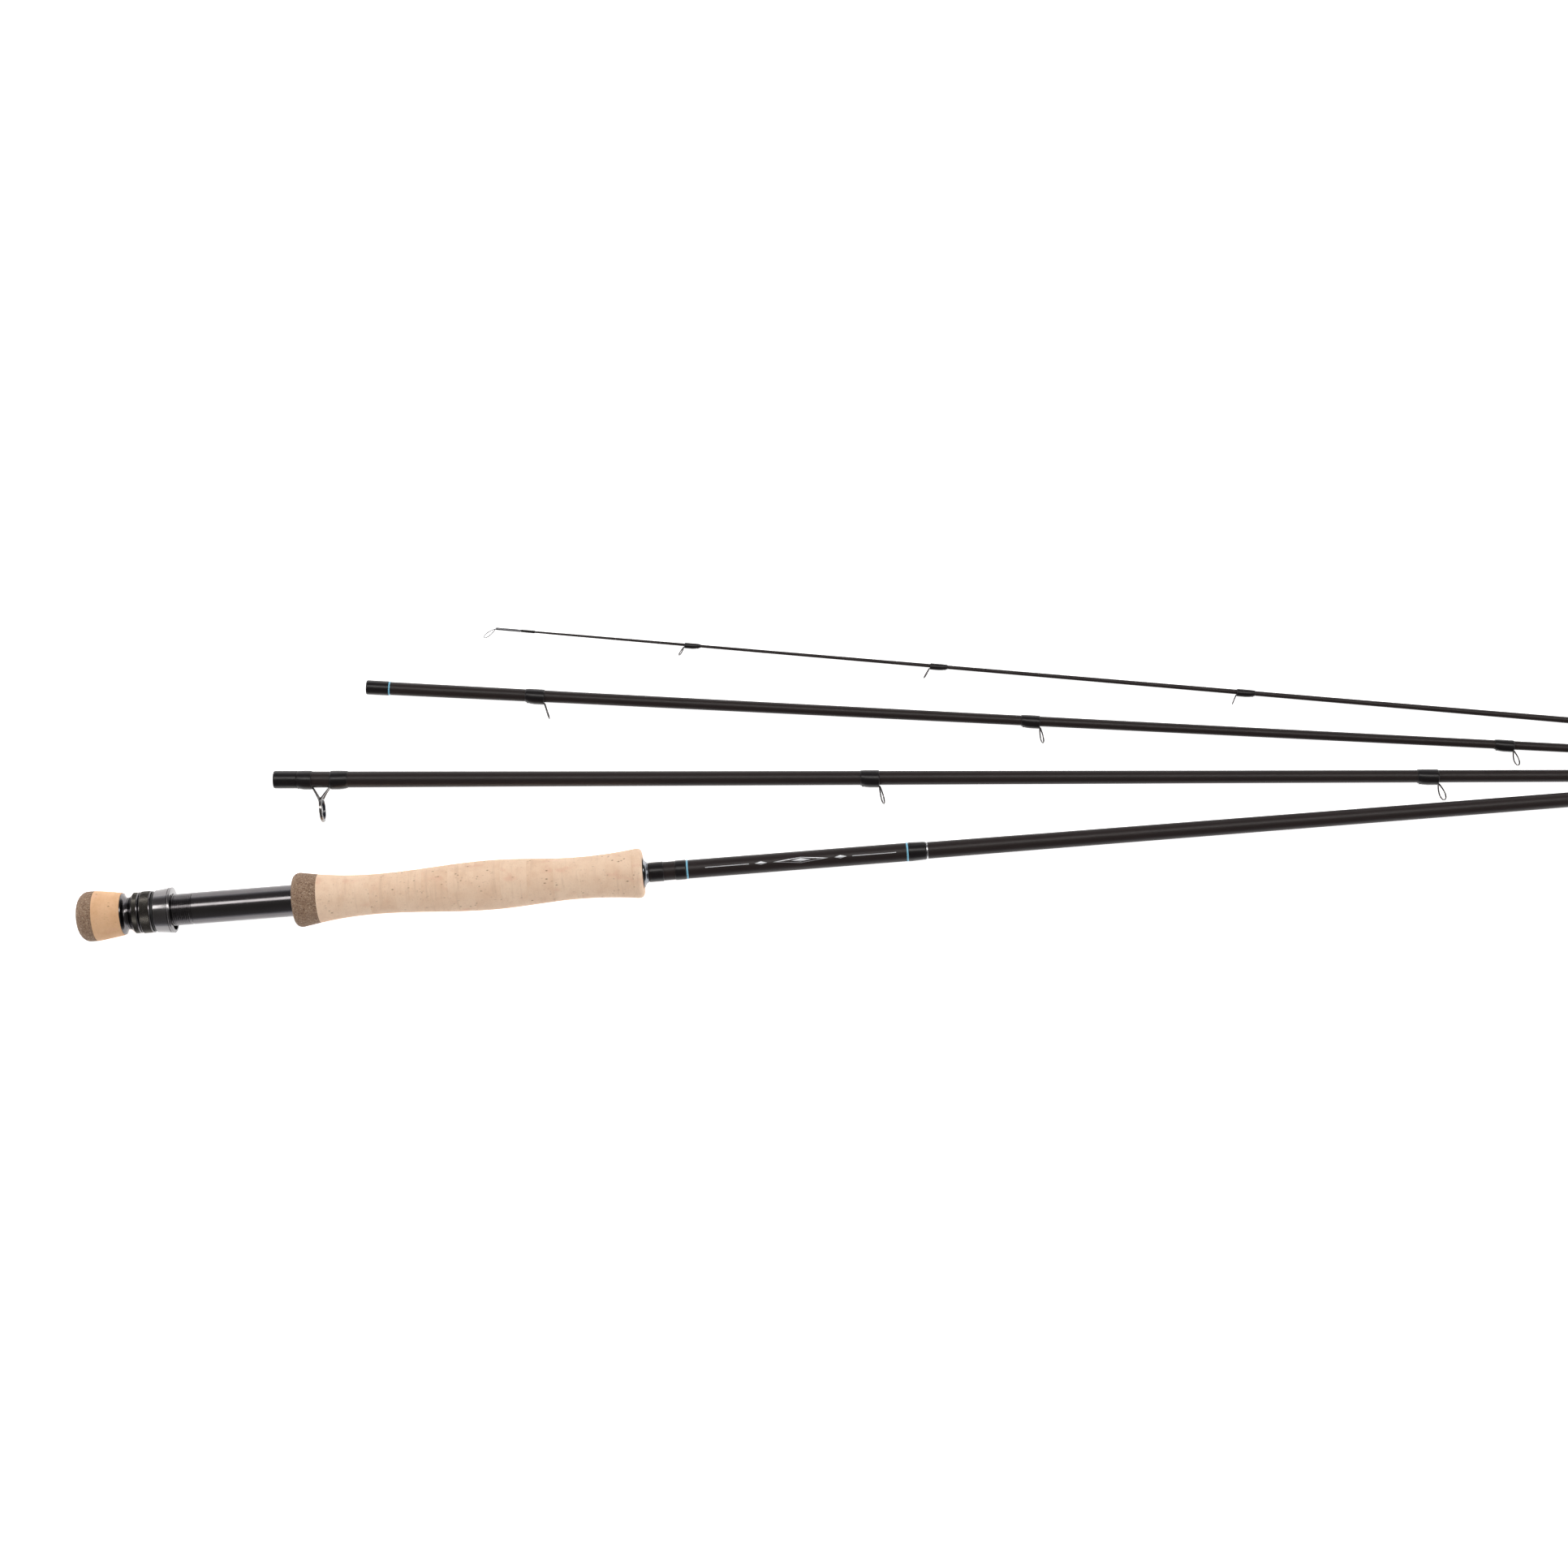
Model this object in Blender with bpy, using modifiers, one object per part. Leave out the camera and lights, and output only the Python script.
"""A ten-foot, four-piece fly rod, taken apart and laid in a fan on a table.

Frame: +X runs from the handle towards the tips, +Y across the fan away from the handle, and +Z up
from the table. The origin is the middle of the layout's footprint, on the table.

Each of the four sections hangs on an empty. The empty's local Z axis runs along the section from
its left end, its local X axis points up from the table, and its local Y axis points to the side
that carries the line guides. All distances "along" a section are measured on that local Z axis.
"""

from math import asin, cos, pi, radians, sin, sqrt, tan

import bmesh
import bpy
from mathutils import Matrix, Vector

MM = 0.001

# ---- clearances -------------------------------------------------------------------------------
GLUE_GAP = 0.3 * MM   # between pieces glued face to face or in a bore
SKIN_GAP = 0.05 * MM  # under thread wraps and bands, which sit tight on the blank
RUN_GAP = 0.15 * MM   # between the barrel and what turns or slides on it
REEL_GAP = 0.2 * MM   # between the nuts, the washer and the hood, end to end

# ---- facets of the round pieces ---------------------------------------------------------------
HANDLE_STEPS = 28
BLANK_STEPS = 20
THIN_STEPS = 12
EYE_STEPS = 24

# ---- layout on the table: left end of each section's axis, and how far across its right end is --
BUTT_START = (-354.5 * MM, -67.1 * MM)
BUTT_FAR_SIDE = -4.411 * MM
SECOND_START = (-258.2 * MM, 2.2 * MM)
SECOND_FAR_SIDE = 4.548 * MM
THIRD_START = (-211.4 * MM, 49.0 * MM)
THIRD_FAR_SIDE = 8.728 * MM
TIP_START = (-152.6 * MM, 79.3 * MM)
TIP_FAR_SIDE = 11.640 * MM

# ---- blanks: graphite tubes, each with its length and its diameters at a few distances ---------
SECTION_LENGTH = 796.0 * MM
BUTT_BLANK_START = 5.0 * MM
BUTT_TAPER = [(5.0, 9.7), (287.0, 9.45), (417.0, 9.4), (428.0, 8.5), (492.0, 8.2), (672.0, 7.74),
              (751.5, 7.55), (753.0, 7.0), (796.0, 6.85)]
SECOND_TAPER = [(0.0, 8.3), (50.0, 8.17), (149.0, 7.72), (313.0, 7.15), (478.0, 6.58), (655.0, 6.2),
                (757.0, 6.0), (758.5, 5.6), (796.0, 5.45)]
THIRD_TAPER = [(0.0, 6.75), (69.0, 6.36), (102.0, 5.99), (201.0, 5.6), (349.0, 5.05), (513.0, 4.6),
               (762.0, 4.0), (763.5, 3.5), (796.0, 3.4)]
TIP_TAPER = [(9.0, 0.8), (43.0, 1.18), (93.0, 1.42), (208.0, 1.79), (340.0, 2.28), (473.0, 2.77),
             (539.0, 3.13), (740.0, 4.1), (764.0, 4.55), (796.0, 4.75)]
BLANK_WALL = 0.9 * MM
FERRULE_OVERLAPS = (42.5 * MM, 37.0 * MM, 32.0 * MM)  # how deep each joint goes, butt end first
FERRULE_GAP = 0.05 * MM

# ---- butt end of the handle -------------------------------------------------------------------
CAP_LENGTH = 9.2 * MM
CAP_RADIUS = 12.65 * MM
CAP_FLAT_RADIUS = 5.2 * MM
BUTT_CORK_LENGTH = 13.7 * MM
BUTT_CORK_FRONT_LIP = 0.25 * MM   # over the end cap's rim
END_CAP_LENGTH = 3.7 * MM
END_CAP_FLARE = 2.55 * MM      # from its neck to its rim
END_CAP_SPIGOT_LENGTH = 6.0 * MM

# ---- reel seat --------------------------------------------------------------------------------
BARREL_RADIUS = 8.0 * MM
BARREL_WALL = 1.4 * MM
REAR_NUT_LENGTH = 4.4 * MM
REAR_NUT_WALL = 2.35 * MM      # these walls are measured from the barrel
FRONT_NUT_LENGTH = 5.8 * MM
FRONT_NUT_WALL = 2.6 * MM
NUT_SPACING = 0.5 * MM
NUT_EDGE = 0.35 * MM
WASHER_LENGTH = 1.1 * MM
WASHER_WALL = 1.9 * MM
HOOD_LENGTH = 8.6 * MM
HOOD_BACK_WALL = 2.65 * MM
HOOD_RIM_WALL = 3.55 * MM
HOOD_GROOVE_DEPTH = 0.4 * MM
SEAT_OPENING = 60.2 * MM      # from the sliding hood, screwed right back, to the fixed hood
POCKET_WALL = 0.55 * MM
POCKET_DEPTH = 6.5 * MM
POCKET_HEIGHT = 2.3 * MM      # room for the end of a reel foot over the barrel
POCKET_OFFSET = 1.9 * MM      # the pocket's bore is off the seat's axis, which makes a crescent
POCKET_SIDE = radians(45.0)   # turned this far from the table side towards the guide side
FIXED_HOOD_LENGTH = 12.4 * MM
FIXED_HOOD_RIM_WALL = 1.1 * MM
FIXED_POCKET_DEPTH = 10.4 * MM
FIXED_BODY_SET_BACK = 2.6 * MM

# ---- cork grip, a full wells shape ------------------------------------------------------------
COMPOSITE_LENGTH = 12.9 * MM
COMPOSITE_WALL = 5.8 * MM      # over the barrel
COMPOSITE_CHAMFER = 4.1 * MM
REAR_WAIST_INSET = 28.6 * MM    # ahead of the composite ring
REAR_WAIST_WALL = 2.1 * MM      # over the barrel
SWELL_INSET = 86.6 * MM
SWELL_RADIUS = 12.5 * MM
FRONT_WAIST_INSET = 27.8 * MM   # behind the front ring
FRONT_WAIST_RADIUS = 10.55 * MM
REAR_FLARE = 2.6              # extra radius per square metre of distance from the waist
FRONT_FLARE = 2.26
CORK_RING_LENGTH = 26.4 * MM
CORK_RING_COUNT = 6
FRONT_RING_LENGTH = 5.2 * MM
FRONT_RING_CORNER = 2.4 * MM
CHECK_LENGTH = 2.2 * MM
CHECK_RADIUS = 7.6 * MM
CHECK_WALL = 0.35 * MM

# ---- thread wraps and bands on the butt section: distance from the winding check, length, radius
WRAP_WALL = 0.22 * MM
BUTT_BANDS = [
    ("butt_wrap_rear", 0.3, 7.5, "thread"),
    ("butt_wrap_middle", 13.5, 5.6, "thread"),
    ("accent_band_rear", 19.3, 0.8, "accent"),
    ("accent_band_front", 130.2, 0.8, "accent"),
    ("butt_wrap_front", 131.2, 8.8, "thread"),
    ("silver_band", 140.15, 0.7, "silver"),
]

# ---- ferrule ends -----------------------------------------------------------------------------
SECOND_FERRULE_WRAP = 11.2 * MM
THIRD_FERRULE_WRAP = 11.2 * MM
THIRD_BAND_LENGTH = 0.7 * MM
TIP_FERRULE_WRAP = 12.0 * MM
WRAP_ROUNDING = 0.8 * MM

# ---- stripping guide --------------------------------------------------------------------------
EYE_ALONG = 24.7 * MM
EYE_OFFSET = 15.3 * MM
EYE_RADIUS = 6.5 * MM
EYE_WALL = 0.7 * MM
EYE_WIDTH = 1.4 * MM
EYE_LEAN = radians(5.0)
RING_BORE_RADIUS = 4.9 * MM
RING_WIDTH = 1.7 * MM
LEG_WIRE = 0.4 * MM
FOOT_THICKNESS = 0.55 * MM
FOOT_WIDTH = 1.7 * MM
REAR_FOOT = (12.0 * MM, 20.2 * MM)
FRONT_FOOT = (27.6 * MM, 36.6 * MM)
REAR_FOOT_WRAP = (11.5 * MM, 19.4 * MM)
FRONT_FOOT_WRAP = (28.5 * MM, 37.5 * MM)
REAR_LEG_SPREAD = radians(58.0)   # where the legs meet the eye, measured from its blank side
FRONT_LEG_SPREAD = radians(32.0)

# ---- single-foot guides: distance of the wrap's edge, loop height, loop width, lean, wrap length
SECOND_GUIDES = [(306.5, 9.9, 8.4, 14.0, 9.8), (589.4, 9.2, 8.4, 19.0, 10.8)]
THIRD_GUIDES = [(90.3, 8.4, 7.4, 21.0, 9.8), (341.6, 8.6, 7.4, 14.0, 9.8), (581.9, 8.0, 7.2, 20.0, 10.0)]
TIP_GUIDES = [(102.4, 5.0, 4.8, 26.0, 8.4), (227.3, 5.8, 5.0, 25.0, 9.2), (383.3, 5.5, 5.2, 18.0, 9.6),
              (560.0, 6.0, 5.4, 18.0, 9.6), (751.0, 6.6, 5.8, 18.0, 9.6)]
LOOP_WIRE = 0.33 * MM
TIP_LOOP_WIRE = 0.22 * MM
LOOP_TWIST = radians(6.5)
LOOP_POINTS = 15

# ---- tip-top ----------------------------------------------------------------------------------
TIP_TOP_BASE = 6.6 * MM
TIP_TOP_TUBE = 12.6 * MM
TIP_TOP_RADIUS = 0.68 * MM
TIP_TOP_LOOP = (7.4 * MM, 5.4 * MM)  # height and width
TIP_TOP_ANGLE = radians(42.0)
TIP_TOP_ROLL = radians(28.0)
TIP_TOP_WRAP = 7.2 * MM

# ---- finishes: colour, roughness, metallic ----------------------------------------------------
FINISHES = {
    "composite_cork": ((0.26, 0.17, 0.10), 0.8, 0.0),
    "cork": ((0.79, 0.58, 0.40), 0.75, 0.0),
    "gunmetal": ((0.06, 0.06, 0.065), 0.18, 1.0),
    "knurled_metal": ((0.10, 0.10, 0.095), 0.35, 1.0),
    "nylon": ((0.01, 0.01, 0.01), 0.5, 0.0),
    "graphite": ((0.024, 0.018, 0.017), 0.45, 0.0),
    "foam": ((0.55, 0.50, 0.42), 0.9, 0.0),
    "thread": ((0.006, 0.005, 0.006), 0.12, 0.0),
    "accent": ((0.20, 0.52, 0.68), 0.25, 0.0),
    "silver": ((0.75, 0.75, 0.76), 0.2, 1.0),
    "steel_wire": ((0.60, 0.60, 0.60), 0.2, 1.0),
    "ceramic": ((0.015, 0.017, 0.03), 0.15, 0.0),
}


def clear_scene():
    for obj in list(bpy.data.objects):
        bpy.data.objects.remove(obj, do_unlink=True)


def collection(name):
    made = bpy.data.collections.new(name)
    bpy.context.scene.collection.children.link(made)
    return made


def finish(name):
    """The material of that finish, made at its first use."""
    found = bpy.data.materials.get(name)
    if found:
        return found
    colour, roughness, metallic = FINISHES[name]
    made = bpy.data.materials.new(name)
    made.use_nodes = True
    shader = made.node_tree.nodes["Principled BSDF"]
    shader.inputs["Base Color"].default_value = (*colour, 1.0)
    shader.inputs["Roughness"].default_value = roughness
    shader.inputs["Metallic"].default_value = metallic
    return made


def add(name, data, parent, at=(0.0, 0.0, 0.0), material=None):
    """A named object under its section's empty. Without a material it is a tool that shapes others."""
    obj = bpy.data.objects.new(name, data)
    obj.parent = parent
    obj.location = at
    if material:
        MODEL.objects.link(obj)
        data.materials.append(finish(material))
    else:
        TOOLS.objects.link(obj)
        obj.hide_render = True
        obj.display_type = "WIRE"
    return obj


def turned(name, outline, parent, at=(0.0, 0.0, 0.0), material=None, steps=HANDLE_STEPS):
    """A turned piece. The outline's (along, radius) pairs run down the outer side, from the far end
    to the near end. It closes through the bore, or starts and ends on the axis."""
    mesh = bpy.data.meshes.new(name)
    points = [(radius, 0.0, along) for along, radius in outline]
    links = [(i, i + 1) for i in range(len(points) - 1)]
    if outline[0][1] > 0.0:
        links.append((len(points) - 1, 0))
    mesh.from_pydata(points, links, [])
    obj = add(name, mesh, parent, at, material)
    screw = obj.modifiers.new("Turn", "SCREW")
    screw.axis = "Z"
    screw.angle = 2.0 * pi
    screw.steps = steps
    screw.render_steps = steps
    screw.use_merge_vertices = True
    screw.merge_threshold = 1e-6
    screw.use_smooth_shade = True
    return obj


def sleeve(near, far, bore, outer):
    """The outline of a plain sleeve between two distances."""
    return [(far, outer), (near, outer), (near, bore), (far, bore)]


def wire(name, points, radius, parent, at=(0.0, 0.0, 0.0), material=None, resolution=1):
    """A round wire through the points."""
    curve = bpy.data.curves.new(name, "CURVE")
    curve.dimensions = "3D"
    curve.bevel_depth = radius
    curve.bevel_resolution = resolution
    curve.use_fill_caps = True
    spline = curve.splines.new("POLY")
    spline.points.add(len(points) - 1)
    for point, place in zip(spline.points, points):
        point.co = (*place, 1.0)
    return add(name, curve, parent, at, material)


def wire_solid(name, points, radius, parent, at=(0.0, 0.0, 0.0), resolution=1):
    """The same wire as a closed mesh tool, which a Boolean can use."""
    curve_object = wire(name + "_curve", points, radius, parent, at, None, resolution)
    bpy.context.view_layer.update()
    graph = bpy.context.evaluated_depsgraph_get()
    mesh = bpy.data.meshes.new_from_object(curve_object.evaluated_get(graph))
    mesh.name = name
    bm = bmesh.new()
    bm.from_mesh(mesh)
    bmesh.ops.remove_doubles(bm, verts=bm.verts, dist=1e-7)
    bm.to_mesh(mesh)
    bm.free()
    solid = add(name, mesh, parent, at)
    bpy.data.objects.remove(curve_object, do_unlink=True)
    return solid


def block(name, low, high, parent):
    """A box tool between two corners."""
    mesh = bpy.data.meshes.new(name)
    bm = bmesh.new()
    size = Vector(high) - Vector(low)
    middle = (Vector(high) + Vector(low)) / 2.0
    bmesh.ops.create_cube(bm, size=1.0, matrix=Matrix.Translation(middle) @ Matrix.Diagonal((*size, 1.0)))
    bm.to_mesh(mesh)
    bm.free()
    return add(name, mesh, parent)


def combine(obj, tool, operation):
    """Cut a tool away from a piece, or join it to the piece."""
    boolean = obj.modifiers.new(tool.name, "BOOLEAN")
    boolean.operation = operation
    boolean.solver = "EXACT"
    boolean.object = tool


def section_empty(name, start, turn, height, roll):
    """An empty on the left end of a section's axis, with the guides' side rolled up from the table."""
    along = Vector((cos(turn), sin(turn), 0.0))
    level_side = Vector((sin(turn), -cos(turn), 0.0))
    side = level_side * cos(roll) + Vector((0.0, 0.0, 1.0)) * sin(roll)
    up = side.cross(along)
    empty = bpy.data.objects.new(name, None)
    MODEL.objects.link(empty)
    turned_axes = Matrix((up, side, along)).transposed().to_4x4()
    empty.matrix_world = Matrix.Translation((start[0], start[1], height)) @ turned_axes
    return empty


def radius_at(taper, along):
    """A blank's outer radius at a distance, from its taper of (millimetres, diameter) pairs."""
    place = along / MM
    for (a, da), (b, db) in zip(taper, taper[1:]):
        if place <= b:
            return (da + (db - da) * (place - a) / (b - a)) / 2.0 * MM
    return taper[-1][1] / 2.0 * MM


def taper_between(taper, near, far, extra):
    """(along, radius) pairs that follow a blank's surface at a small distance, from near to far."""
    corners = [a * MM for a, _ in taper if near < a * MM < far]
    return [(s, radius_at(taper, s) + extra) for s in [near, *corners, far]]


def snug_sleeve(taper, near, far, wall, rounding=0.0):
    """The outline of a sleeve on a blank, which follows its taper inside and out."""
    bore = taper_between(taper, near, far, SKIN_GAP)
    outer = taper_between(taper, near, far, SKIN_GAP + wall)
    if rounding:
        lip = radius_at(taper, near) + SKIN_GAP + wall * 0.35
        outer = [(near, lip)] + taper_between(taper, near + rounding, far, SKIN_GAP + wall)
    return outer[::-1] + bore


def blank_outline(taper, near, far, bores):
    """The outline of a tubular blank. The bores are (along, radius) pairs from near to far."""
    outer = taper_between(taper, near, far, 0.0)
    return outer[::-1] + bores


def socket_bore(lower_taper, overlap):
    """The bore that takes the lower section's thin end, as (depth, radius) pairs."""
    seat = SECTION_LENGTH - overlap
    return [(depth, radius_at(lower_taper, seat + depth) + FERRULE_GAP) for depth in (0.0, overlap)]


# ---- the handle's stations, worked out from the lengths above ---------------------------------
CORK_START = CAP_LENGTH
END_CAP_START = CORK_START + BUTT_CORK_LENGTH
BARREL_START = END_CAP_START + END_CAP_LENGTH + GLUE_GAP
BUTT_TURN = asin((BUTT_FAR_SIDE - BUTT_START[1]) / SECTION_LENGTH)
SECOND_TURN = asin((SECOND_FAR_SIDE - SECOND_START[1]) / SECTION_LENGTH)
THIRD_TURN = asin((THIRD_FAR_SIDE - THIRD_START[1]) / SECTION_LENGTH)
TIP_TURN = asin((TIP_FAR_SIDE - TIP_START[1]) / SECTION_LENGTH)
REAR_NUT_START = BARREL_START + GLUE_GAP
FRONT_NUT_START = REAR_NUT_START + REAR_NUT_LENGTH + NUT_SPACING
WASHER_START = FRONT_NUT_START + FRONT_NUT_LENGTH + REEL_GAP
HOOD_START = WASHER_START + WASHER_LENGTH + REEL_GAP
HOOD_END = HOOD_START + HOOD_LENGTH
FIXED_HOOD_START = HOOD_END + SEAT_OPENING
BARREL_END = FIXED_HOOD_START + FIXED_HOOD_LENGTH
COMPOSITE_START = FIXED_HOOD_START + GLUE_GAP
GRIP_START = COMPOSITE_START + COMPOSITE_LENGTH
FRONT_RING_START = GRIP_START + CORK_RING_LENGTH * CORK_RING_COUNT
GRIP_END = FRONT_RING_START + FRONT_RING_LENGTH
REAR_WAIST = (GRIP_START + REAR_WAIST_INSET, BARREL_RADIUS + REAR_WAIST_WALL)
SWELL = (GRIP_START + SWELL_INSET, SWELL_RADIUS)
FRONT_WAIST = (FRONT_RING_START - FRONT_WAIST_INSET, FRONT_WAIST_RADIUS)
CHECK_START = GRIP_END
CHECK_END = CHECK_START + CHECK_LENGTH
BARREL_BORE = BARREL_RADIUS - BARREL_WALL
END_CAP_NECK_RADIUS = BARREL_RADIUS - SKIN_GAP
END_CAP_RADIUS = END_CAP_NECK_RADIUS + END_CAP_FLARE
BUTT_CORK_FRONT_RADIUS = END_CAP_RADIUS + BUTT_CORK_FRONT_LIP
REAR_NUT_RADIUS = BARREL_RADIUS + REAR_NUT_WALL
FRONT_NUT_RADIUS = BARREL_RADIUS + FRONT_NUT_WALL
WASHER_RADIUS = BARREL_RADIUS + WASHER_WALL
HOOD_BACK_RADIUS = BARREL_RADIUS + HOOD_BACK_WALL
HOOD_RIM_RADIUS = BARREL_RADIUS + HOOD_RIM_WALL
FIXED_HOOD_RIM_RADIUS = BARREL_RADIUS + FIXED_HOOD_RIM_WALL
COMPOSITE_RADIUS = BARREL_RADIUS + COMPOSITE_WALL
SLIDING_BORE = BARREL_RADIUS + RUN_GAP


def grip_radius(along):
    """The full wells shape: two waists with flared ends, and a swell between them."""
    if along < REAR_WAIST[0]:
        return REAR_WAIST[1] + REAR_FLARE * (REAR_WAIST[0] - along) ** 2
    if along > FRONT_WAIST[0]:
        return FRONT_WAIST[1] + FRONT_FLARE * (along - FRONT_WAIST[0]) ** 2
    waist = REAR_WAIST if along < SWELL[0] else FRONT_WAIST
    share = abs(along - waist[0]) / abs(SWELL[0] - waist[0])
    return waist[1] + (SWELL[1] - waist[1]) * (1.0 - cos(pi * share)) / 2.0


def blank_bore(along):
    """The bore of a cork or an arbor that is glued on the butt blank."""
    return radius_at(BUTT_TAPER, along) + GLUE_GAP


def pocket_tool(name, section, mouth, depth, reach, mouth_slope=0.0):
    """A round tool off the seat's axis. Its edge stands the given reach from that axis."""
    radius = reach - POCKET_OFFSET
    near, far = (mouth - depth, mouth + MM) if depth > 0.0 else (mouth - MM, mouth - depth)
    wide = radius + mouth_slope
    ends = [(far, 0.0), (far, wide), (near, radius), (near, 0.0)]
    return turned(name, ends, section, at=pocket_offset())


def pocket_offset():
    return (-POCKET_OFFSET * cos(POCKET_SIDE), POCKET_OFFSET * sin(POCKET_SIDE), 0.0)


def butt_end(section):
    """The fighting butt: a composite cap, a cork and the reel seat's polished end cap."""
    quarter = [(CAP_LENGTH * 0.62 * (1.0 - cos(a)), CAP_FLAT_RADIUS + (CAP_RADIUS - CAP_FLAT_RADIUS) * sin(a))
               for a in (radians(d) for d in (0.0, 22.0, 44.0, 66.0, 90.0))]
    front = CAP_LENGTH - GLUE_GAP
    bore = blank_bore(CAP_LENGTH)
    bottom = BUTT_BLANK_START - GLUE_GAP
    cap = [(bottom, 0.0), (bottom, bore), (front, bore), (front, CAP_RADIUS)]
    turned("butt_cap", cap + quarter[::-1] + [(0.0, 0.0)], section, material="composite_cork")

    cork_end = END_CAP_START - GLUE_GAP
    turned("fighting_butt_cork", [(cork_end, BUTT_CORK_FRONT_RADIUS), (CORK_START, CAP_RADIUS),
                                  (CORK_START, bore), (cork_end, bore)], section, material="cork")

    neck_end = END_CAP_START + END_CAP_LENGTH
    spigot_end = neck_end + END_CAP_SPIGOT_LENGTH
    spigot = BARREL_BORE - RUN_GAP
    drop = END_CAP_RADIUS - END_CAP_NECK_RADIUS
    flare = [(END_CAP_START + END_CAP_LENGTH * share, END_CAP_NECK_RADIUS + drop * (1.0 - share) ** 2.4)
             for share in (0.72, 0.5, 0.3, 0.12)]
    ridge = END_CAP_NECK_RADIUS + 0.25 * MM
    turned("seat_end_cap", [
        (spigot_end, spigot), (neck_end, spigot), (neck_end, END_CAP_NECK_RADIUS),
        (neck_end - 0.3 * MM, ridge), (neck_end - 0.7 * MM, END_CAP_NECK_RADIUS + 0.05 * MM),
        *flare, (END_CAP_START, END_CAP_RADIUS), (END_CAP_START, bore), (spigot_end, bore),
    ], section, material="gunmetal")


def reel_seat(section):
    """The threaded barrel on its arbors, and the fixed hood sunk in the composite ring."""
    turned("seat_barrel", sleeve(BARREL_START, BARREL_END, BARREL_BORE, BARREL_RADIUS), section,
           material="gunmetal")
    arbor_start = END_CAP_START + END_CAP_LENGTH + END_CAP_SPIGOT_LENGTH + MM
    arbor_split = (arbor_start + BARREL_END) / 2.0
    arbor_outer = BARREL_BORE - RUN_GAP
    for name, near, far in (("seat_arbor_rear", arbor_start, arbor_split - MM),
                            ("seat_arbor_front", arbor_split + MM, BARREL_END)):
        turned(name, sleeve(near, far, blank_bore(near), arbor_outer), section, material="foam",
               steps=BLANK_STEPS)

    body_start = FIXED_HOOD_START + FIXED_BODY_SET_BACK
    reach = BARREL_RADIUS + POCKET_HEIGHT
    hood = turned("fixed_hood", sleeve(FIXED_HOOD_START, BARREL_END, SLIDING_BORE, FIXED_HOOD_RIM_RADIUS),
                  section, material="gunmetal")
    outer_radius = reach + POCKET_WALL - POCKET_OFFSET
    bulge = [(BARREL_END, 0.0), (BARREL_END, outer_radius), (body_start, outer_radius), (body_start, 0.0)]
    combine(hood, turned("fixed_hood_bulge", bulge, section, at=pocket_offset()), "UNION")
    bore = [(BARREL_END + MM, 0.0), (BARREL_END + MM, SLIDING_BORE), (FIXED_HOOD_START - MM, SLIDING_BORE),
            (FIXED_HOOD_START - MM, 0.0)]
    combine(hood, turned("fixed_hood_bore", bore, section), "DIFFERENCE")
    combine(hood, pocket_tool("fixed_hood_pocket", section, FIXED_HOOD_START, -FIXED_POCKET_DEPTH, reach),
            "DIFFERENCE")

    far = COMPOSITE_START + COMPOSITE_LENGTH - GLUE_GAP
    rim = FIXED_HOOD_RIM_RADIUS + GLUE_GAP
    ring = turned("grip_composite_ring", [
        (far, grip_radius(far)), (COMPOSITE_START + COMPOSITE_CHAMFER, COMPOSITE_RADIUS),
        (COMPOSITE_START, rim + GLUE_GAP), (COMPOSITE_START, rim), (far, rim),
    ], section, material="composite_cork")
    room = outer_radius + GLUE_GAP
    near = COMPOSITE_START - MM
    recess = [(far + MM, 0.0), (far + MM, room), (near, room), (near, 0.0)]
    combine(ring, turned("composite_recess", recess, section, at=pocket_offset()), "DIFFERENCE")


def reel_lock(section):
    """What moves on the barrel: two knurled nuts, a washer and the sliding hood."""
    edge = NUT_EDGE
    rear_end = REAR_NUT_LENGTH
    turned("rear_lock_nut", [
        (rear_end, REAR_NUT_RADIUS - edge), (rear_end - edge, REAR_NUT_RADIUS), (4.0 * edge, REAR_NUT_RADIUS),
        (0.0, REAR_NUT_RADIUS - 4.0 * edge), (0.0, SLIDING_BORE), (rear_end, SLIDING_BORE),
    ], section, at=(0.0, 0.0, REAR_NUT_START), material="knurled_metal")
    front_end = FRONT_NUT_LENGTH
    turned("front_lock_nut", [
        (front_end, FRONT_NUT_RADIUS - edge), (front_end - edge, FRONT_NUT_RADIUS), (edge, FRONT_NUT_RADIUS),
        (0.0, FRONT_NUT_RADIUS - edge), (0.0, SLIDING_BORE), (front_end, SLIDING_BORE),
    ], section, at=(0.0, 0.0, FRONT_NUT_START), material="knurled_metal")
    turned("hood_washer", sleeve(0.0, WASHER_LENGTH, SLIDING_BORE, WASHER_RADIUS), section,
           at=(0.0, 0.0, WASHER_START), material="nylon")
    rim_start = HOOD_END - 1.0 * MM
    groove_start = rim_start - 0.5 * MM
    cone = HOOD_RIM_RADIUS - 0.1 * MM
    hood = turned("sliding_hood", [
        (HOOD_END, HOOD_RIM_RADIUS - 0.2 * MM), (HOOD_END - 0.2 * MM, HOOD_RIM_RADIUS),
        (rim_start, HOOD_RIM_RADIUS), (rim_start, HOOD_RIM_RADIUS - HOOD_GROOVE_DEPTH),
        (groove_start, HOOD_RIM_RADIUS - HOOD_GROOVE_DEPTH), (groove_start, cone),
        (HOOD_START + edge, HOOD_BACK_RADIUS), (HOOD_START, HOOD_BACK_RADIUS - edge),
        (HOOD_START, SLIDING_BORE), (HOOD_END, SLIDING_BORE),
    ], section, material="gunmetal")
    reach = HOOD_BACK_RADIUS - POCKET_WALL
    combine(hood, pocket_tool("hood_pocket", section, HOOD_END, POCKET_DEPTH, reach, 0.5 * MM), "DIFFERENCE")


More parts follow.
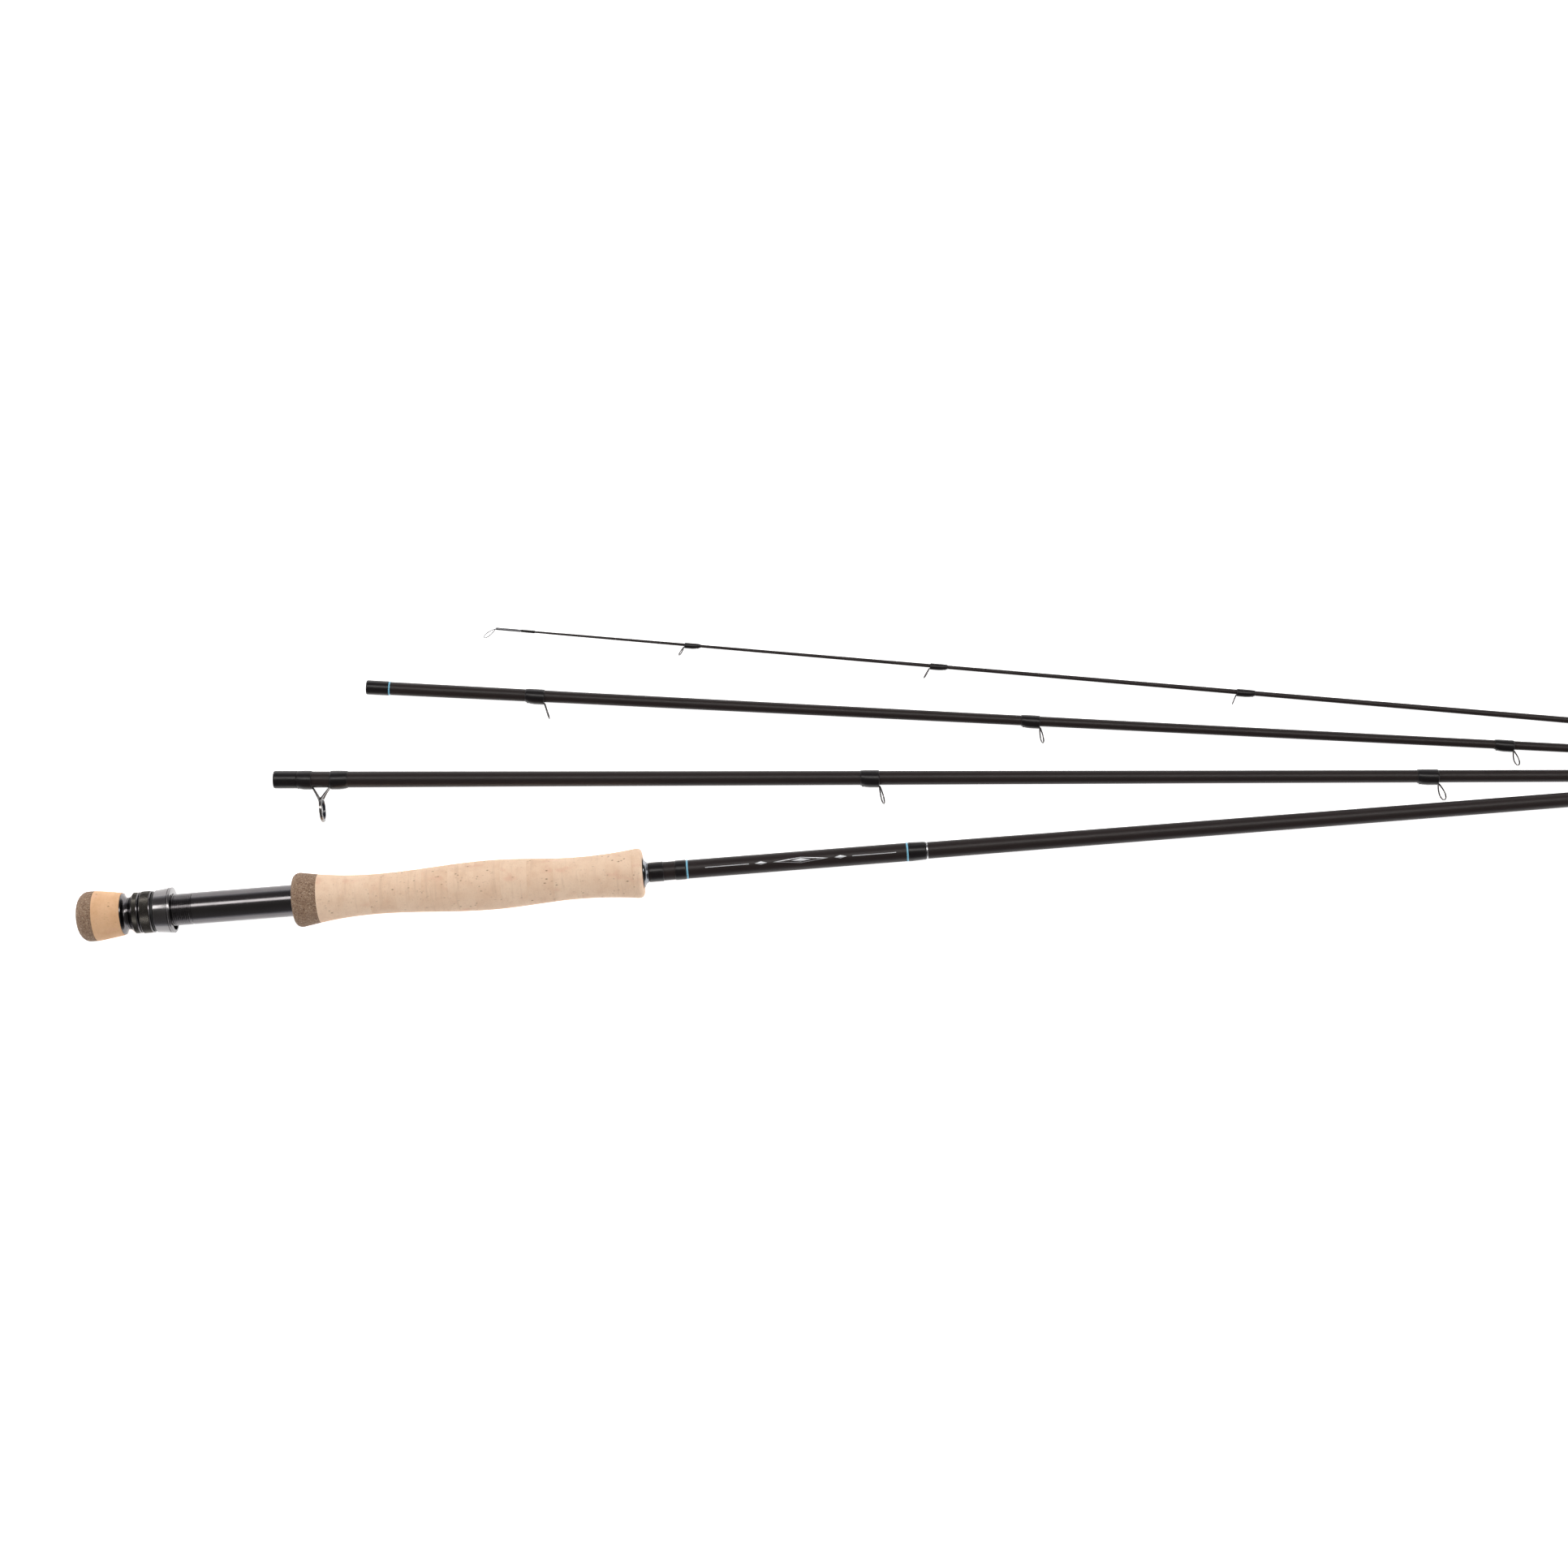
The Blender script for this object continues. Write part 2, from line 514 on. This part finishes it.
def cork_grip(section):
    """The cork rings of the grip, a thin front ring with a round corner, and the winding check."""
    for number in range(CORK_RING_COUNT):
        near = GRIP_START + CORK_RING_LENGTH * number
        far = near + CORK_RING_LENGTH - GLUE_GAP
        stations = [far - (far - near) * i / 3.0 for i in range(4)]
        outer = [(s, grip_radius(s)) for s in stations]
        bore = blank_bore(near)
        turned(f"grip_cork_ring_{number + 1}", outer + [(near, bore), (far, bore)], section, material="cork")
    far = GRIP_END - GLUE_GAP
    lip = grip_radius(FRONT_RING_START + FRONT_RING_LENGTH * 0.4)
    corner = [(far - FRONT_RING_CORNER * (1.0 - cos(a)), lip - FRONT_RING_CORNER * (1.0 - sin(a)))
              for a in (radians(d) for d in (0.0, 30.0, 60.0, 90.0))]
    bore = blank_bore(FRONT_RING_START)
    turned("grip_front_ring", corner + [(FRONT_RING_START, grip_radius(FRONT_RING_START)),
                                        (FRONT_RING_START, bore), (far, bore)], section, material="cork")
    step = 0.6 * MM
    neck = radius_at(BUTT_TAPER, CHECK_START) + SKIN_GAP + CHECK_WALL
    turned("winding_check", [
        (CHECK_END, neck), (CHECK_END - step, neck + 0.5 * MM), (CHECK_START + step, neck + 1.4 * MM),
        (CHECK_START + 0.3 * MM, CHECK_RADIUS), (CHECK_START, CHECK_RADIUS), (CHECK_START, neck - CHECK_WALL),
        (CHECK_END, neck - CHECK_WALL),
    ], section, material="gunmetal", steps=BLANK_STEPS)


def butt_blank(section):
    bores = [(BUTT_BLANK_START, radius_at(BUTT_TAPER, BUTT_BLANK_START) - BLANK_WALL),
             (SECTION_LENGTH, radius_at(BUTT_TAPER, SECTION_LENGTH) - BLANK_WALL)]
    turned("butt_blank", blank_outline(BUTT_TAPER, BUTT_BLANK_START, SECTION_LENGTH, bores), section,
           material="graphite", steps=BLANK_STEPS)
    for name, start, length, kind in BUTT_BANDS:
        near = CHECK_END + start * MM
        turned(name, snug_sleeve(BUTT_TAPER, near, near + length * MM, WRAP_WALL), section,
               material=kind, steps=BLANK_STEPS)


def upper_blank(name, section, taper, lower_taper, overlap):
    """A blank whose thick left end is bored to take the section below it."""
    socket = socket_bore(lower_taper, overlap)
    far_bore = radius_at(taper, SECTION_LENGTH) - BLANK_WALL
    inner = min(socket[1][1] - 0.3 * MM, radius_at(taper, overlap) - BLANK_WALL)
    bores = [*socket, (overlap + 0.5 * MM, inner), (SECTION_LENGTH, far_bore)]
    turned(name, blank_outline(taper, 0.0, SECTION_LENGTH, bores), section, material="graphite",
           steps=BLANK_STEPS)


def foot_sleeve(name, section, blank_radius, foot_half_width, foot_height, near, far, steps):
    """A thread wrap over a guide's foot: a round sleeve set towards the foot's side."""
    shift = (foot_height + SKIN_GAP) / 2.0
    top = blank_radius + SKIN_GAP + foot_height - shift
    over_foot = (sqrt(foot_half_width ** 2 + top ** 2) + SKIN_GAP) / cos(pi / steps)
    bore = max(blank_radius + SKIN_GAP + shift, over_foot)
    turned(name, sleeve(near, far, bore, bore + WRAP_WALL), section, at=(0.0, shift, 0.0),
           material="thread", steps=steps)
    return bore + WRAP_WALL


def teardrop(height, width, spread, count):
    """Half-width and height pairs round a loop that starts and ends at its foot."""
    half_width = width / 2.0 / 0.7698  # the peak of sin(t) sin(t / 2)
    first = sqrt(2.0 * spread / half_width)
    turns = [first + (2.0 * pi - 2.0 * first) * i / (count - 1) for i in range(count)]
    return [(half_width * sin(t) * sin(t / 2.0), height / 2.0 * (1.0 - cos(t))) for t in turns]


def single_foot_guide(name, section, blank_radius, guide, wire_radius, tipward, steps):
    """A wire loop on one foot: both ends of the wire lie side by side under the thread wrap."""
    along, height, width, lean, wrap_length = guide
    spread = wire_radius * 1.15
    seat = blank_radius + SKIN_GAP + wire_radius
    slope = tan(radians(lean))
    twist = tan(LOOP_TWIST)
    foot_end = -tipward * (wrap_length - 1.0) * MM
    outline = teardrop(height * MM - 2.0 * wire_radius, width * MM - 2.0 * wire_radius, spread, LOOP_POINTS)
    loop = [(x, seat + y, tipward * (y * slope + x * twist)) for x, y in outline]
    points = [(spread, seat, foot_end), (spread, seat, -tipward * 0.5 * MM), *loop,
              (-spread, seat, -tipward * 0.5 * MM), (-spread, seat, foot_end)]
    wire(name, points, wire_radius, section, at=(0.0, 0.0, along * MM), material="steel_wire")
    edge = along * MM - tipward * 0.2 * MM
    other = along * MM - tipward * wrap_length * MM
    foot_sleeve(name + "_wrap", section, blank_radius, spread + wire_radius * 0.6, 2.0 * wire_radius,
                min(edge, other), max(edge, other), steps)


def stripping_guide(section):
    """The first guide: a ceramic ring in a steel eye, held on two feet by four legs."""
    front_radius = radius_at(SECOND_TAPER, FRONT_FOOT[0])
    rear_radius = radius_at(SECOND_TAPER, REAR_FOOT[0])
    seats = {REAR_FOOT: rear_radius + SKIN_GAP, FRONT_FOOT: front_radius + SKIN_GAP}
    eye_bore = EYE_RADIUS - EYE_WALL
    half = EYE_WIDTH / 2.0
    eye_axis = (0.0, EYE_OFFSET, EYE_ALONG)
    frame = turned("stripping_guide_frame", sleeve(-half, half, eye_bore, EYE_RADIUS), section, at=eye_axis,
                   material="steel_wire", steps=EYE_STEPS)
    frame.rotation_euler = (EYE_LEAN, 0.0, 0.0)
    attach = EYE_RADIUS - 0.15 * MM
    for foot, spread, leg_side in ((REAR_FOOT, REAR_LEG_SPREAD, -1.0), (FRONT_FOOT, FRONT_LEG_SPREAD, 1.0)):
        root = foot[1] if leg_side < 0.0 else foot[0]
        label = "rear" if leg_side < 0.0 else "front"
        seat = seats[foot]
        plate = block(f"{label}_foot", (-FOOT_WIDTH / 2.0, seat, foot[0]),
                      (FOOT_WIDTH / 2.0, seat + FOOT_THICKNESS, foot[1]), section)
        for side in (-1.0, 1.0):
            start = Vector((side * 0.42 * MM, seat + LEG_WIRE * 0.8, root + leg_side * LEG_WIRE))
            hold = EYE_OFFSET - attach * cos(spread)
            end = Vector((side * attach * sin(spread), hold, EYE_ALONG + leg_side * half * 0.3
                          - (EYE_OFFSET - hold) * tan(EYE_LEAN)))
            knee = Vector((side * attach * sin(spread) * 0.25, (start.y + end.y) / 2.0,
                           start.z * 0.55 + end.z * 0.45))
            path = [start * (1 - t) ** 2 + knee * 2 * t * (1 - t) + end * t ** 2
                    for t in (0.0, 0.2, 0.4, 0.6, 0.8, 1.0)]
            leg = wire_solid(f"{label}_leg_{'near' if side > 0 else 'far'}", path, LEG_WIRE, section)
            combine(frame, leg, "UNION")
        combine(frame, plate, "UNION")
    ring_outer = eye_bore - SKIN_GAP
    deep = (ring_outer - RING_BORE_RADIUS) / 2.0
    middle = RING_BORE_RADIUS + deep
    wide = RING_WIDTH / 2.0
    oval = [(wide * sin(a), middle + deep * cos(a)) for a in (radians(45.0 - 45.0 * i) for i in range(8))]
    ring = turned("stripping_guide_ring", oval, section, at=eye_axis, material="ceramic", steps=EYE_STEPS)
    ring.rotation_euler = (EYE_LEAN, 0.0, 0.0)
    for name, seat_radius, span in (("stripping_guide_wrap_rear", rear_radius, REAR_FOOT_WRAP),
                                    ("stripping_guide_wrap_front", front_radius, FRONT_FOOT_WRAP)):
        foot_sleeve(name, section, seat_radius, FOOT_WIDTH / 2.0, FOOT_THICKNESS, span[0], span[1],
                    BLANK_STEPS)


def tip_top(section):
    """The tip-top: a tube on the rod's tip with a wire loop on its end."""
    height, width = TIP_TOP_LOOP
    tube_end = TIP_TOP_BASE + TIP_TOP_TUBE
    solid_end = TIP_TAPER[0][0] * MM - GLUE_GAP
    bore = radius_at(TIP_TAPER, tube_end) + SKIN_GAP
    tube = turned("tip_top", [
        (solid_end, 0.0), (solid_end, bore), (tube_end, bore), (tube_end, TIP_TOP_RADIUS),
        (TIP_TOP_BASE, TIP_TOP_RADIUS), (TIP_TOP_BASE, 0.0),
    ], section, material="steel_wire", steps=THIN_STEPS)
    reach = Vector((0.0, sin(TIP_TOP_ANGLE), -cos(TIP_TOP_ANGLE)))
    across = Vector((1.0, 0.0, 0.0)) * cos(TIP_TOP_ROLL) + Vector((1.0, 0.0, 0.0)).cross(reach) * sin(TIP_TOP_ROLL)
    spread = TIP_LOOP_WIRE * 1.15
    root = Vector((0.0, 0.0, TIP_TOP_BASE - 0.1 * MM))
    loop = [root + reach * y + across * x for x, y in teardrop(height, width, spread, LOOP_POINTS)]
    inside = Vector((0.0, 0.0, TIP_TOP_BASE + 1.0 * MM))
    points = [inside + across * spread, *loop, inside - across * spread]
    combine(tube, wire_solid("tip_top_loop", points, TIP_LOOP_WIRE, section), "UNION")
    near = tube_end + 0.1 * MM
    turned("tip_top_wrap", snug_sleeve(TIP_TAPER, near, near + TIP_TOP_WRAP, WRAP_WALL), section,
           material="thread", steps=THIN_STEPS)


def eye_roll(height):
    """How far a section rolls until its stripping guide's eye touches the table."""
    return asin((EYE_RADIUS - height) / EYE_OFFSET)


def centre_on_table(sections):
    """Moves the layout so that the middle of its footprint, on the table, is the origin."""
    bpy.context.view_layer.update()
    graph = bpy.context.evaluated_depsgraph_get()
    corners = []
    for obj in MODEL.objects:
        if obj.type != "EMPTY":
            mesh = obj.evaluated_get(graph).to_mesh()
            corners += [obj.matrix_world @ vertex.co for vertex in mesh.vertices]
            obj.evaluated_get(graph).to_mesh_clear()
    low = Vector([min(c[i] for c in corners) for i in range(3)])
    high = Vector([max(c[i] for c in corners) for i in range(3)])
    shift = Vector(((low.x + high.x) / 2.0, (low.y + high.y) / 2.0, low.z))
    for section in sections:
        section.location -= shift


def build():
    butt = section_empty("butt_section", BUTT_START, BUTT_TURN, COMPOSITE_RADIUS, 0.0)
    butt_end(butt)
    reel_seat(butt)
    reel_lock(butt)
    cork_grip(butt)
    butt_blank(butt)

    second_height = radius_at(SECOND_TAPER, 0.0) + FOOT_THICKNESS + 2.0 * SKIN_GAP + WRAP_WALL - 0.2 * MM
    second = section_empty("second_section", SECOND_START, SECOND_TURN, second_height,
                           eye_roll(second_height))
    upper_blank("second_blank", second, SECOND_TAPER, BUTT_TAPER, FERRULE_OVERLAPS[0])
    turned("second_ferrule_wrap", snug_sleeve(SECOND_TAPER, 0.0, SECOND_FERRULE_WRAP, WRAP_WALL,
                                              WRAP_ROUNDING), second, material="thread", steps=BLANK_STEPS)
    stripping_guide(second)
    for number, guide in enumerate(SECOND_GUIDES):
        single_foot_guide(f"second_guide_{number + 1}", second, radius_at(SECOND_TAPER, guide[0] * MM),
                          guide, LOOP_WIRE, 1.0, BLANK_STEPS)

    third_height = THIRD_TAPER[0][1] / 2.0 * MM + SKIN_GAP + WRAP_WALL + 0.3 * MM
    third = section_empty("third_section", THIRD_START, THIRD_TURN, third_height, radians(2.0))
    upper_blank("third_blank", third, THIRD_TAPER, SECOND_TAPER, FERRULE_OVERLAPS[1])
    turned("third_ferrule_wrap", snug_sleeve(THIRD_TAPER, 0.0, THIRD_FERRULE_WRAP, WRAP_WALL,
                                             WRAP_ROUNDING), third, material="thread", steps=BLANK_STEPS)
    band = THIRD_FERRULE_WRAP + 0.1 * MM
    turned("third_accent_band", snug_sleeve(THIRD_TAPER, band, band + THIRD_BAND_LENGTH, WRAP_WALL),
           third, material="accent", steps=BLANK_STEPS)
    for number, guide in enumerate(THIRD_GUIDES):
        single_foot_guide(f"third_guide_{number + 1}", third, radius_at(THIRD_TAPER, guide[0] * MM),
                          guide, LOOP_WIRE, 1.0, BLANK_STEPS)

    tip_height = 3.15 * MM
    tip = section_empty("tip_section", TIP_START, TIP_TURN, tip_height, radians(3.0))
    tip_start = TIP_TAPER[0][0] * MM
    socket = socket_bore(THIRD_TAPER, FERRULE_OVERLAPS[2])
    mouth = [(SECTION_LENGTH - depth, radius) for depth, radius in socket]
    turned("tip_blank", [*taper_between(TIP_TAPER, tip_start, SECTION_LENGTH, 0.0)[::-1],
                         (tip_start, 0.0), (mouth[1][0], 0.0), mouth[1], mouth[0]], tip,
           material="graphite", steps=BLANK_STEPS)
    wrap_near = SECTION_LENGTH - TIP_FERRULE_WRAP
    turned("tip_ferrule_wrap", snug_sleeve(TIP_TAPER, wrap_near, SECTION_LENGTH, WRAP_WALL), tip,
           material="thread", steps=BLANK_STEPS)
    for number, guide in enumerate(TIP_GUIDES):
        single_foot_guide(f"tip_guide_{number + 1}", tip, radius_at(TIP_TAPER, (guide[0] + guide[4]) * MM),
                          guide, TIP_LOOP_WIRE, -1.0, THIN_STEPS)
    tip_top(tip)
    centre_on_table([butt, second, third, tip])


clear_scene()
MODEL = collection("fly_rod")
TOOLS = collection("shaping_tools")
build()
